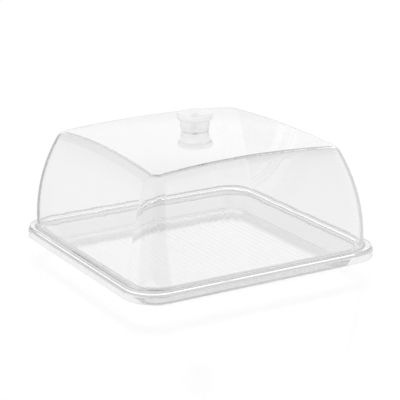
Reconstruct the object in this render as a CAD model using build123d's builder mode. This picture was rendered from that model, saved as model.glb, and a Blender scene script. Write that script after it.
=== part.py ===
from build123d import *
from math import sqrt
import os

# A square clear pastry tray with a clear lift-off dome, in millimetres.
# The origin is the middle of the tray's foot, on the surface that the tray stands on.
# The tray's sides lie along X and Y, and +Z is up.

os.makedirs("parts", exist_ok=True)

# The tray: one clear moulding with a sunk well, a flat rim and a skirt round it
tray_side = 300.0
tray_corner = 36.0
tray_wall = 2.4
rim_height = 20.3
rim_edge_radius = 2.6
rim_edge_width = 1.75
skirt_depth = 9.4
skirt_edge_radius = 0.8

# The well, whose walls lean out, and the foot ring under it
ledge_width = 10.4
well_lean = 8.0
well_top_corner = 20.0
well_floor_corner = 14.0
well_floor_height = 2.8
well_floor_radius = 3.0
foot_margin = 2.0
foot_corner = 17.0
foot_width = 5.0
foot_height = 0.8
foot_edge_radius = 0.5

# The step on the rim that keeps the dome in its place
step_height = 1.0
step_clearance = 0.6
step_outer_radius = 0.4
step_inner_radius = 1.2

# The low roof-shaped ribs that run along Y on the floor of the well
rib_pitch = 7.8
rib_width = 5.0
rib_height = 0.05
rib_end_gap = 8.0
rib_root = 0.5

# The dome: one clear shell that stands on a flat flange, a hair above the tray's rim
dome_wall = 2.5
dome_height = 121.2
dome_foot_corner = 33.4
seat_gap = 0.05
flange_width = 6.85
flange_edge_radius = 0.6
foot_fillet = 3.0

# The dome's wall stands upright at its foot and leans in along one arc, up to the shoulder
wall_arc_radius = 250.0
shoulder_drop = 4.7
shoulder_corner = 15.0
shoulder_outer_radius = 12.5
crown_radius = 1270.0
wall_sections = 8
section_overrun = 10.0

# The knob, turned round the Z axis, on a thin seal
knob_foot_radius = 15.1
knob_foot_height = 3.0
neck_radius = 16.1
neck_height = 8.8
neck_edge_radius = 0.5
grip_radius = 19.7
grip_thickness = 6.8
grip_lower_radius = 2.0
grip_upper_radius = 2.2
grip_crown = 1.6
seal_radius = 15.1
seal_thickness = 1.0
seal_bore_radius = 4.8

# The screw that comes up through the dome, its washer and the insert that it turns into
screw_radius = 2.0
screw_grip = 5.5
screw_tip_chamfer = 0.5
screw_head_radius = 4.0
screw_head_height = 2.6
screw_head_fillet = 1.2
drive_length = 4.6
drive_width = 1.0
drive_depth = 1.5
screw_hole_clearance = 0.3
thread_clearance = 0.05
washer_radius = 6.0
washer_thickness = 1.0
insert_radius = 4.0
insert_length = 7.0
insert_groove_width = 1.6
insert_groove_depth = 0.5
insert_chamfer = 0.4
insert_floor = 1.0

# Sizes and heights that follow from the sizes above, from the rim's edge inwards
flange_side = tray_side - 2 * rim_edge_width
flange_corner = tray_corner - rim_edge_width
dome_foot_side = flange_side - 2 * flange_width
well_top_side = dome_foot_side - 2 * ledge_width
well_floor_side = well_top_side - 2 * well_lean
foot_side = well_floor_side + 2 * foot_margin
skirt_bottom = rim_height - skirt_depth
rim_underside = rim_height - tray_wall
step_top = rim_height + step_height
dome_foot = rim_height + seat_gap
flange_top = dome_foot + dome_wall
crown_top = dome_foot + dome_height
crown_centre = crown_top - crown_radius
shoulder_inner_radius = shoulder_outer_radius - dome_wall
shoulder_height = crown_top - shoulder_drop
seal_bottom = crown_centre + sqrt(crown_radius**2 - seal_bore_radius**2)
knob_bottom = seal_bottom + seal_thickness
neck_bottom = knob_bottom + knob_foot_height
grip_bottom = neck_bottom + neck_height
grip_top = grip_bottom + grip_thickness
washer_top = crown_centre + sqrt((crown_radius - dome_wall) ** 2 - washer_radius**2)
washer_bottom = washer_top - washer_thickness
screw_tip = knob_bottom + screw_grip


def rounded_square(height, side, corner):
    """A square face with round corners, centred on the Z axis at a height."""
    with BuildSketch(Plane.XY.offset(height)) as outline:
        RectangleRounded(side, side, corner)
    return outline.sketch


def wall_side(height):
    """The dome's outer width at a height."""
    rise = height - dome_foot
    lean = wall_arc_radius - sqrt(wall_arc_radius**2 - rise**2)
    return dome_foot_side - 2 * lean


def wall_corner(height):
    """The radius of the dome's upright corners at a height. It narrows towards the shoulder."""
    share = (height - flange_top) / (shoulder_height - flange_top)
    return dome_foot_corner + (shoulder_corner - dome_foot_corner) * share


def dome_lump(inset, shoulder_radius):
    """The dome as a solid lump, an inset inside its outer face, with its shoulder rounded."""
    lump_height = crown_top + section_overrun - dome_foot
    sections = []
    for step in range(wall_sections):
        height = dome_foot + lump_height * step / (wall_sections - 1)
        side = wall_side(height) - 2 * inset
        sections.append(rounded_square(height, side, wall_corner(height) - inset))
    with BuildPart() as lump:
        loft(sections)
        with Locations((0, 0, crown_centre)):
            Sphere(crown_radius - inset, mode=Mode.INTERSECT)
        crown = lump.faces().sort_by(Axis.Z)[-1]
        fillet(crown.edges(), shoulder_radius)
    return lump.part


# The tray's outlines, from the skirt inwards
skirt_outline = rounded_square(skirt_bottom, tray_side, tray_corner)
skirt_hollow = rounded_square(
    skirt_bottom, tray_side - 2 * tray_wall, tray_corner - tray_wall
)
step_side = wall_side(dome_foot) - 2 * dome_wall - 2 * step_clearance
step_corner = wall_corner(dome_foot) - dome_wall - step_clearance
step_outline = rounded_square(rim_height, step_side, step_corner)
tub_top = rounded_square(
    rim_underside, well_top_side + 2 * tray_wall, well_top_corner + tray_wall
)
tub_foot = rounded_square(0, foot_side, foot_corner)
foot_hollow = rounded_square(0, foot_side - 2 * foot_width, foot_corner - foot_width)
well_top = rounded_square(step_top, well_top_side, well_top_corner)
well_floor = rounded_square(well_floor_height, well_floor_side, well_floor_corner)

# The hollow of the well, as a solid
with BuildPart() as well:
    loft([well_floor, well_top])
    fillet(well.faces().sort_by(Axis.Z)[0].edges(), well_floor_radius)

# The ribs, whose roots reach into the floor
rib_length = well_floor_side - 2 * rib_end_gap
rib_count = int((rib_length - rib_width) // rib_pitch) + 1
with BuildPart() as ribs:
    with BuildSketch(Plane.XZ.offset(-rib_length / 2)):
        with Locations((0, well_floor_height)):
            with GridLocations(rib_pitch, rib_pitch, rib_count, 1):
                Polygon(
                    (-rib_width / 2, -rib_root),
                    (rib_width / 2, -rib_root),
                    (rib_width / 2, 0),
                    (0, rib_height),
                    (-rib_width / 2, 0),
                    align=None,
                )
    extrude(amount=rib_length)

# The tray: rim and skirt, the step on the rim, the tub below it, then the well cut out
with BuildPart() as tray:
    extrude(skirt_outline, amount=skirt_depth)
    fillet(tray.faces().sort_by(Axis.Z)[-1].edges(), rim_edge_radius)
    fillet(tray.faces().sort_by(Axis.Z)[0].edges(), skirt_edge_radius)
    extrude(step_outline, amount=step_height)
    fillet(tray.faces().sort_by(Axis.Z)[-1].edges(), step_outer_radius)
    extrude(skirt_hollow, amount=skirt_depth - tray_wall, mode=Mode.SUBTRACT)
    loft([tub_foot, tub_top])
    fillet(tray.faces().sort_by(Axis.Z)[0].edges(), foot_edge_radius)
    add(well.part, mode=Mode.SUBTRACT)
    fillet(tray.faces().sort_by(Axis.Z)[-1].inner_wires()[0].edges(), step_inner_radius)
    extrude(foot_hollow, amount=foot_height, mode=Mode.SUBTRACT)
    add(ribs.part)

tray.part.label = "tray"
export_step(tray.part, "parts/tray.step")

# The dome: a flange with the shell standing on it, and a hole for the knob's screw
flange_outline = rounded_square(dome_foot, flange_side, flange_corner)
with BuildPart() as dome:
    extrude(flange_outline, amount=dome_wall)
    fillet(dome.edges().filter_by(Axis.Z, reverse=True), flange_edge_radius)
    add(dome_lump(0, shoulder_outer_radius))
    flange_land = dome.faces().filter_by(Plane.XY).sort_by(Axis.Z)[-1]
    fillet(flange_land.inner_wires()[0].edges(), foot_fillet)
    add(dome_lump(dome_wall, shoulder_inner_radius), mode=Mode.SUBTRACT)
    with Locations((0, 0, crown_top)):
        Hole(screw_radius + screw_hole_clearance, depth=2 * dome_wall)

dome.part.label = "dome"
export_step(dome.part, "parts/dome.step")

# The threaded insert, with a groove that locks it in the knob
with BuildPart() as insert_blank:
    with Locations((0, 0, knob_bottom)):
        Cylinder(insert_radius, insert_length, align=(Align.CENTER, Align.CENTER, Align.MIN))
    chamfer(insert_blank.edges().sort_by(Axis.Z)[-1], insert_chamfer)
    with BuildSketch(Plane.XY.offset(knob_bottom + (insert_length - insert_groove_width) / 2)):
        Circle(insert_radius)
        Circle(insert_radius - insert_groove_depth, mode=Mode.SUBTRACT)
    extrude(amount=insert_groove_width, mode=Mode.SUBTRACT)

with BuildPart() as knob_insert:
    add(insert_blank.part)
    with Locations(Plane.XY.offset(knob_bottom).rotated((180, 0, 0))):
        Hole(screw_radius + thread_clearance, depth=insert_length - insert_floor)

knob_insert.part.label = "knob_insert"
export_step(knob_insert.part, "parts/knob_insert.step")

# The knob: a neck with a round-edged grip on it, moulded round the insert
grip_crown_radius = (grip_radius**2 + grip_crown**2) / (2 * grip_crown)
with BuildPart() as knob:
    with BuildSketch(Plane.XZ) as knob_profile:
        with BuildLine():
            Polyline(
                (0, grip_top + grip_crown),
                (0, knob_bottom),
                (knob_foot_radius, knob_bottom),
                (knob_foot_radius, neck_bottom),
                (neck_radius, neck_bottom),
                (neck_radius, grip_bottom),
                (grip_radius, grip_bottom),
                (grip_radius, grip_top),
            )
            RadiusArc((grip_radius, grip_top), (0, grip_top + grip_crown), -grip_crown_radius)
        make_face()
        fillet(knob_profile.vertices().group_by(Axis.X)[2].sort_by(Axis.Y)[0], neck_edge_radius)
        fillet(knob_profile.vertices().group_by(Axis.X)[-1].sort_by(Axis.Y)[0], grip_lower_radius)
        fillet(knob_profile.vertices().group_by(Axis.X)[-1].sort_by(Axis.Y)[-1], grip_upper_radius)
    revolve(axis=Axis.Z)
    add(insert_blank.part, mode=Mode.SUBTRACT)

knob.part.label = "knob"
export_step(knob.part, "parts/knob.step")

# The seal between the knob and the dome
with BuildPart() as knob_seal:
    with BuildSketch(Plane.XY.offset(seal_bottom)):
        Circle(seal_radius)
        Circle(seal_bore_radius, mode=Mode.SUBTRACT)
    extrude(amount=seal_thickness)

knob_seal.part.label = "knob_seal"
export_step(knob_seal.part, "parts/knob_seal.step")

# The washer under the dome
with BuildPart() as knob_washer:
    with BuildSketch(Plane.XY.offset(washer_bottom)):
        Circle(washer_radius)
        Circle(screw_radius + screw_hole_clearance, mode=Mode.SUBTRACT)
    extrude(amount=washer_thickness)

knob_washer.part.label = "knob_washer"
export_step(knob_washer.part, "parts/knob_washer.step")

# The screw, whose round head with a cross slot looks down into the dome
with BuildPart() as knob_screw:
    with BuildSketch(Plane.XY.offset(washer_bottom)):
        Circle(screw_head_radius)
    extrude(amount=-screw_head_height)
    fillet(knob_screw.edges().sort_by(Axis.Z)[0], screw_head_fillet)
    with BuildSketch(Plane.XY.offset(washer_bottom)):
        Circle(screw_radius)
    extrude(amount=screw_tip - washer_bottom)
    chamfer(knob_screw.edges().sort_by(Axis.Z)[-1], screw_tip_chamfer)
    with BuildSketch(Plane.XY.offset(washer_bottom - screw_head_height)):
        Rectangle(drive_length, drive_width)
        Rectangle(drive_width, drive_length)
    extrude(amount=drive_depth, mode=Mode.SUBTRACT)

knob_screw.part.label = "knob_screw"
export_step(knob_screw.part, "parts/knob_screw.step")
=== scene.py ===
from math import cos, radians, sin

import bmesh
import bpy
from mathutils import Matrix, Vector


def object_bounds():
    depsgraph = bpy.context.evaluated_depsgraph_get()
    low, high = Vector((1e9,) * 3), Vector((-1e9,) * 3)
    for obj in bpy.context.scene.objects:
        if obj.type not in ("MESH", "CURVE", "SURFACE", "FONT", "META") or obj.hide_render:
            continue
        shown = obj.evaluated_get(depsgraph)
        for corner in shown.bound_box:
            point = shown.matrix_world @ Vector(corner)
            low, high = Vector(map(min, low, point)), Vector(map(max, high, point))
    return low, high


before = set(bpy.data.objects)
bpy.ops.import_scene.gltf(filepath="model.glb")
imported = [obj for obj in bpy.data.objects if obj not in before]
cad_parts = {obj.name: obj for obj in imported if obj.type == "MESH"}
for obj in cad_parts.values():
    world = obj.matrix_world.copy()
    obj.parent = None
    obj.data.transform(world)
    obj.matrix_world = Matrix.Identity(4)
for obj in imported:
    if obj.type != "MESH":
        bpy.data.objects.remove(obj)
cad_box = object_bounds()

# The camera stands a little to the left of the tray's near corner and looks down at it through a
# long lens.
CAMERA_PLACE = (-0.7800, -1.3734, 0.5359)
CAMERA_YAW = radians(29.755)
CAMERA_PITCH = radians(16.705)
CAMERA_ROLL = radians(-0.703)
SENSOR_WIDTH = 36.0
IMAGE_SIZE = 400
FOCAL_PIXELS = 1491.8
CAMERA_REACH = 20.0

camera_data = bpy.data.cameras.new("camera")
camera_data.sensor_width = SENSOR_WIDTH
camera_data.lens = FOCAL_PIXELS / IMAGE_SIZE * SENSOR_WIDTH
camera_data.clip_end = CAMERA_REACH
camera = bpy.data.objects.new("camera", camera_data)
bpy.context.scene.collection.objects.link(camera)
camera.matrix_world = (
    Matrix.Translation(CAMERA_PLACE)
    @ Matrix.Rotation(-CAMERA_YAW, 4, "Z")
    @ Matrix.Rotation(radians(90) - CAMERA_PITCH, 4, "X")
    @ Matrix.Rotation(CAMERA_ROLL, 4, "Z")
)
bpy.context.scene.camera = camera
bpy.context.scene.view_settings.view_transform = "Standard"

# The studio is a white room with soft light all round. In mirrored light it has three soft white
# panels, behind the tray and on both sides, with dimmer walls between them and a dark side behind
# the camera.
AWAY = Vector((sin(CAMERA_YAW), cos(CAMERA_YAW), 0))
ACROSS = Vector((cos(CAMERA_YAW), -sin(CAMERA_YAW), 0))
FRONT = Vector((-1, -1, 0)).normalized()
ROOM_LIGHT = 0.99
FRONT_LIGHT = 0.25
# each wall light: degrees to the right of the camera's view, light
WALL_LIGHTS = (
    (-180, 0.00),
    (-169, 0.05),
    (-157, 0.45),
    (-50, 0.45),
    (-12, 0.55),
    (12, 0.68),
    (54, 0.72),
    (122, 0.50),
    (133, 0.05),
    (180, 0.00),
)
FULL_TURN = 360
WALL_TOP = 34
WALL_TOP_FADE = 14
CEILING_LIGHT = 0.15
# each panel: left end, right end, foot and top in degrees, light
PANELS = (
    (-105, -60, -60, 3, 0.55),
    (-14, 14, 2, 27, 0.36),
    (70, 118, -60, 18, 0.50),
)
PANEL_FADE = 14
PANEL_FOOT_FADE = 3
NO_BOUNCE = 0.5


def grey(level):
    """A colour of one lightness, with no hue."""
    return (level, level, level, 1)


def wire(tree, kind, inputs, **settings):
    """A node in a tree, with its settings and its inputs, each a value or another node's output."""
    node = tree.nodes.new(kind)
    for name, value in settings.items():
        setattr(node, name, value)
    for name, value in inputs.items():
        if isinstance(value, bpy.types.NodeSocket):
            tree.links.new(value, node.inputs[name])
        else:
            node.inputs[name].default_value = value
    return node


def sum_up(tree, operation, *values):
    """The output of a Math node on values or outputs."""
    return wire(tree, "ShaderNodeMath", dict(enumerate(values)), operation=operation).outputs[0]


def mix(tree, share, first, second):
    """A number between two, nearer to the second as the share goes from 0 to 1."""
    inputs = {"Factor": share, "A": first, "B": second}
    return wire(tree, "ShaderNodeMix", inputs).outputs["Result"]


def finish_tree(tree, kind, shader):
    """Puts a shader on the output of a material or of the world."""
    wire(tree, kind, {"Surface": shader.outputs[0]})


def ease(tree, value, start, end):
    """A number that goes from 0 at one value to 1 at another."""
    limits = {"Value": value, "From Min": start, "From Max": end}
    smooth = {"interpolation_type": "SMOOTHSTEP"}
    return wire(tree, "ShaderNodeMapRange", limits, **smooth).outputs["Result"]


def between(tree, value, low, high, low_fade, high_fade):
    """1 where an angle lies between two limits in degrees, with a soft edge outside each."""
    rise = ease(tree, value, radians(low - low_fade), radians(low))
    fall = ease(tree, value, radians(high + high_fade), radians(high))
    return sum_up(tree, "MULTIPLY", rise, fall)


def along(tree, ray, direction):
    """How far a ray points in one direction, from -1 to 1."""
    inputs = {0: ray, 1: direction}
    return wire(tree, "ShaderNodeVectorMath", inputs, operation="DOT_PRODUCT").outputs["Value"]


def seen_straight(tree):
    """1 where the camera looks straight, or through clear plastic alone."""
    path = tree.nodes.new("ShaderNodeLightPath").outputs
    straight = sum_up(tree, "MAXIMUM", path["Is Camera Ray"], path["Is Transmission Ray"])
    bounces = sum_up(tree, "ADD", path["Diffuse Depth"], path["Glossy Depth"])
    return sum_up(tree, "MULTIPLY", straight, sum_up(tree, "LESS_THAN", bounces, NO_BOUNCE))


def seen_mirrored(tree):
    """1 where the light has been mirrored on its way, and not scattered."""
    path = tree.nodes.new("ShaderNodeLightPath").outputs
    straight = sum_up(tree, "MAXIMUM", path["Is Glossy Ray"], path["Is Transmission Ray"])
    mirrored = sum_up(tree, "GREATER_THAN", path["Glossy Depth"], NO_BOUNCE)
    clean = sum_up(tree, "LESS_THAN", path["Diffuse Depth"], NO_BOUNCE)
    return sum_up(tree, "MULTIPLY", sum_up(tree, "MULTIPLY", straight, mirrored), clean)


world = bpy.data.worlds.new("studio")
bpy.context.scene.world = world
world.use_nodes = True
room = world.node_tree
room.nodes.clear()
ray = room.nodes.new("ShaderNodeTexCoord").outputs["Generated"]
sideways = sum_up(room, "ARCTAN2", along(room, ray, ACROSS), along(room, ray, AWAY))
upwards = sum_up(room, "ARCSINE", wire(room, "ShaderNodeSeparateXYZ", {0: ray}).outputs["Z"])

turn = sum_up(room, "MULTIPLY_ADD", sideways, 1 / radians(FULL_TURN), 0.5)
walls = wire(room, "ShaderNodeValToRGB", {"Fac": turn})
stops = walls.color_ramp.elements
for number, (angle, light) in enumerate(WALL_LIGHTS):
    share = angle / FULL_TURN + 0.5
    stop = stops[number] if number < len(stops) else stops.new(share)
    stop.position = share
    stop.color = grey(light)
mirror_light = walls.outputs["Color"]
for start, end, foot, top, light in PANELS:
    reach = between(room, sideways, start, end, PANEL_FADE, PANEL_FADE)
    level = between(room, upwards, foot, top, PANEL_FOOT_FADE, PANEL_FADE)
    panel = sum_up(room, "MULTIPLY", reach, level)
    mirror_light = sum_up(room, "MULTIPLY_ADD", panel, light, mirror_light)
ceiling = ease(room, upwards, radians(WALL_TOP), radians(WALL_TOP + WALL_TOP_FADE))
mirror_light = mix(room, ceiling, mirror_light, CEILING_LIGHT)

# A last panel behind the tray is bright enough to show in the floor of the well, through the dome.
# Light that goes to and fro inside the clear sheet comes out as an even grey.
WELL_PANEL = (-12, 12, 11, 22)
WELL_PANEL_FADE = 6
WELL_LIGHT = 0.36
GUIDED_LIGHT = (0.85, 0.6)
GUIDED_FROM = (1.5, 5.5)
BOUNCES = 256

path = room.nodes.new("ShaderNodeLightPath").outputs
start, end, foot, top = WELL_PANEL
reach = between(room, sideways, start, end, WELL_PANEL_FADE, WELL_PANEL_FADE)
level = between(room, upwards, foot, top, WELL_PANEL_FADE, WELL_PANEL_FADE)
panel = sum_up(room, "MULTIPLY", reach, level)
panel = sum_up(room, "MULTIPLY", panel, path["Is Transmission Ray"])
mirror_light = sum_up(room, "MULTIPLY_ADD", panel, WELL_LIGHT, mirror_light)
for depth, light in zip(GUIDED_FROM, GUIDED_LIGHT):
    guided = sum_up(room, "GREATER_THAN", path["Glossy Depth"], depth)
    mirror_light = mix(room, guided, mirror_light, light)
for kind in ("max", "diffuse", "glossy", "transmission"):
    setattr(bpy.context.scene.cycles, f"{kind}_bounces", BOUNCES)

soft_light = sum_up(room, "MULTIPLY_ADD", along(room, ray, FRONT), FRONT_LIGHT, ROOM_LIGHT)
light = mix(room, seen_mirrored(room), soft_light, mirror_light)
light = mix(room, seen_straight(room), light, 1.0)
sky = wire(room, "ShaderNodeBackground", {"Color": grey(1), "Strength": light})
finish_tree(room, "ShaderNodeOutputWorld", sky)

# The table is a glossy white sheet, lit from below. It keeps the tray's faint shadow and mirror
# image, and elsewhere it runs into the white of the room. In mirrored light it glows a little
# darker under the tray than beside it, a painted shadow of the tray.
TABLE_SIDE = 8.0
TRAY_EDGE = cad_box[1][0]
MIRROR_MARGIN = 0.05
SHADE_FADE = 0.005
TABLE_WHITE = 0.86
TABLE_NEAR_LIGHT = 0.95
TABLE_PAINTED_SHADOW_GLOW = 0.75
TABLE_GLOW = 0.94
TABLE_GLOW_LIGHT = 1.016
TABLE_MIRROR = 0.09
TABLE_BLUR = 0.08


def mix_shaders(tree, share, first, second):
    """A shader between two, nearer to the second as the share goes from 0 to 1."""
    inputs = {0: share, 1: first.outputs[0], 2: second.outputs[0]}
    return wire(tree, "ShaderNodeMixShader", inputs)


def glow_of(tree, light):
    """A shader that glows white at a given strength."""
    return wire(tree, "ShaderNodeEmission", {"Color": grey(1), "Strength": light})


sheet = bmesh.new()
bmesh.ops.create_grid(sheet, x_segments=1, y_segments=1, size=TABLE_SIDE / 2)
table_mesh = bpy.data.meshes.new("table")
sheet.to_mesh(table_mesh)
sheet.free()
table = bpy.data.objects.new("table", table_mesh)
bpy.context.scene.collection.objects.link(table)
table_look = bpy.data.materials.new("white_table")
table_look.use_nodes = True
tree = table_look.node_tree
tree.nodes.clear()
place = tree.nodes.new("ShaderNodeTexCoord").outputs["Object"]
spot = wire(tree, "ShaderNodeSeparateXYZ", {0: place}).outputs
along_x = sum_up(tree, "ABSOLUTE", spot["X"])
along_y = sum_up(tree, "ABSOLUTE", spot["Y"])
from_middle = sum_up(tree, "MAXIMUM", along_x, along_y)
far_off = sum_up(tree, "GREATER_THAN", from_middle, TRAY_EDGE + MIRROR_MARGIN)
in_the_open = ease(tree, from_middle, TRAY_EDGE - SHADE_FADE, TRAY_EDGE + SHADE_FADE)

plain = wire(tree, "ShaderNodeBsdfDiffuse", {"Color": grey(TABLE_WHITE)})
shine = wire(tree, "ShaderNodeBsdfGlossy", {"Color": grey(1), "Roughness": TABLE_BLUR})
seen = mix_shaders(tree, TABLE_GLOW, plain, glow_of(tree, TABLE_GLOW_LIGHT))
seen = mix_shaders(tree, TABLE_MIRROR, seen, shine)
straight = mix_shaders(tree, seen_straight(tree), plain, seen)
# Under the tray the mirrored glow is dimmer: a painted shadow.
bright = glow_of(tree, mix(tree, in_the_open, TABLE_PAINTED_SHADOW_GLOW, TABLE_NEAR_LIGHT))
open_air = wire(tree, "ShaderNodeBsdfTransparent", {})
mirrored = mix_shaders(tree, far_off, bright, open_air)
table_shader = mix_shaders(tree, seen_mirrored(tree), straight, mirrored)
finish_tree(tree, "ShaderNodeOutputMaterial", table_shader)
table_look.cycles.emission_sampling = "NONE"
table_mesh.materials.append(table_look)

# The tray and the dome are one clear moulding each, polished inside and out, and the dome stands
# loose on the tray's rim. Their sheet is a little wavy, as moulded sheet is, and it takes a little
# of the light that crosses it.
CLEAR_IOR = 1.49
TRAY_CLEAR = 0.88
DOME_CLEAR = 0.95
# Where the sheet bends from wall to crown, a darker tint is painted in as shade.
BEND_PAINTED_SHADE = 0.74
BEND_START = 12
BEND_END = 20
BEND_FADE = 3
CLEAR_PATCHES = (40.0, 0.0, 0.012)
CLEAR_RIPPLE = (25.0, 0.00002)
LAMP_SHARE = 0.97
NOISE_LOW = 0.3
NOISE_HIGH = 0.7
PATCH_DETAIL = 2.0
RIPPLE_DETAIL = 1.0


def finish_of(node_name, look):
    """Gives a node of the frame its material."""
    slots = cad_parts[node_name].data.materials
    slots.clear()
    slots.append(look)


def moulded_look(name):
    """A new material with an empty tree, and the place on the piece that its patterns follow."""
    look = bpy.data.materials.new(name)
    look.use_nodes = True
    look.node_tree.nodes.clear()
    place = look.node_tree.nodes.new("ShaderNodeTexCoord").outputs["Object"]
    return look, look.node_tree, place


def noise_of(tree, place, scale, detail):
    """A noise pattern on a piece, as a number from 0 to 1."""
    inputs = {"Vector": place, "Scale": scale, "Detail": detail}
    return wire(tree, "ShaderNodeTexNoise", inputs).outputs["Fac"]


def patches(tree, place, scale, low, high):
    """A noise pattern as a number that runs between two values."""
    limits = {
        "Value": noise_of(tree, place, scale, PATCH_DETAIL),
        "From Min": NOISE_LOW,
        "From Max": NOISE_HIGH,
        "To Min": low,
        "To Max": high,
    }
    return wire(tree, "ShaderNodeMapRange", limits).outputs["Result"]


def ripple(tree, place, scale, depth):
    """A faint waviness of the surface, as the normal that it gives."""
    height = noise_of(tree, place, scale, RIPPLE_DETAIL)
    inputs = {"Height": height, "Distance": depth, "Strength": 1.0}
    return wire(tree, "ShaderNodeBump", inputs).outputs["Normal"]


def clear_surface(tree, inputs):
    """Makes a clear plastic that lets the room's light pass unbent to what stands behind it."""
    plastic = wire(tree, "ShaderNodeBsdfPrincipled", inputs)
    open_air = wire(tree, "ShaderNodeBsdfTransparent", {"Color": grey(LAMP_SHARE)})
    path = tree.nodes.new("ShaderNodeLightPath").outputs
    lighting = sum_up(tree, "MAXIMUM", path["Is Shadow Ray"], path["Is Diffuse Ray"])
    finish_tree(tree, "ShaderNodeOutputMaterial", mix_shaders(tree, lighting, plastic, open_air))


def clear_look(name, sheet):
    """A polished clear moulding, with a shade painted where its sheet bends from wall to crown."""
    look, tree, place = moulded_look(name)
    normal = tree.nodes.new("ShaderNodeNewGeometry").outputs["Normal"]
    upward = wire(tree, "ShaderNodeSeparateXYZ", {0: normal}).outputs["Z"]
    tilt = sum_up(tree, "ARCCOSINE", sum_up(tree, "ABSOLUTE", upward))
    # The mask picks out the bend, and the colour there is painted shade.
    painted_bend_shade = between(tree, tilt, BEND_START, BEND_END, BEND_FADE, BEND_FADE)
    inputs = {
        "Base Color": mix(tree, painted_bend_shade, sheet, BEND_PAINTED_SHADE),
        "Roughness": patches(tree, place, *CLEAR_PATCHES),
        "IOR": CLEAR_IOR,
        "Transmission Weight": 1.0,
        "Normal": ripple(tree, place, *CLEAR_RIPPLE),
    }
    clear_surface(tree, inputs)
    return look


finish_of("tray", clear_look("tray_clear", TRAY_CLEAR))
finish_of("dome", clear_look("dome_clear", DOME_CLEAR))

# The knob is one clear, slightly milky moulding round its threaded insert, with a polished skin.
# It stands in the middle of the dome, and the screw holds it from below.
KNOB_WHITE = 0.96
KNOB_CLEAR_SHARE = 0.25
KNOB_PATCHES = (120.0, 0.10, 0.14)
KNOB_RIPPLE = (120.0, 0.00001)

knob_look, tree, place = moulded_look("knob_clear")
inputs = {
    "Base Color": grey(KNOB_WHITE),
    "Roughness": patches(tree, place, *KNOB_PATCHES),
    "IOR": CLEAR_IOR,
    "Transmission Weight": KNOB_CLEAR_SHARE,
    "Normal": ripple(tree, place, *KNOB_RIPPLE),
}
clear_surface(tree, inputs)
finish_of("knob", knob_look)

# The seal is a soft ring of clear silicone. It lies between the knob and the dome, and the screw
# that holds the knob presses it flat.
SEAL_COLOUR = (0.95, 0.95, 0.945, 1)
SEAL_CLEAR_SHARE = 0.5
SEAL_PATCHES = (300.0, 0.25, 0.4)
SILICONE_IOR = 1.41

seal_look, tree, place = moulded_look("seal_clear")
inputs = {
    "Base Color": SEAL_COLOUR,
    "Roughness": patches(tree, place, *SEAL_PATCHES),
    "IOR": SILICONE_IOR,
    "Transmission Weight": SEAL_CLEAR_SHARE,
}
clear_surface(tree, inputs)
finish_of("knob_seal", seal_look)

# The insert, the washer and the screw are plain turned steel. The insert is moulded into the knob,
# and the screw goes up into it through the washer and the dome.
STEEL_GREY = 0.78
STEEL_PATCHES = (800.0, 0.22, 0.34)

steel_look, tree, place = moulded_look("turned_steel")
inputs = {
    "Base Color": grey(STEEL_GREY),
    "Metallic": 1.0,
    "Roughness": patches(tree, place, *STEEL_PATCHES),
}
steel = wire(tree, "ShaderNodeBsdfPrincipled", inputs)
finish_tree(tree, "ShaderNodeOutputMaterial", steel)
for name in ("knob_insert", "knob_washer", "knob_screw"):
    finish_of(name, steel_look)
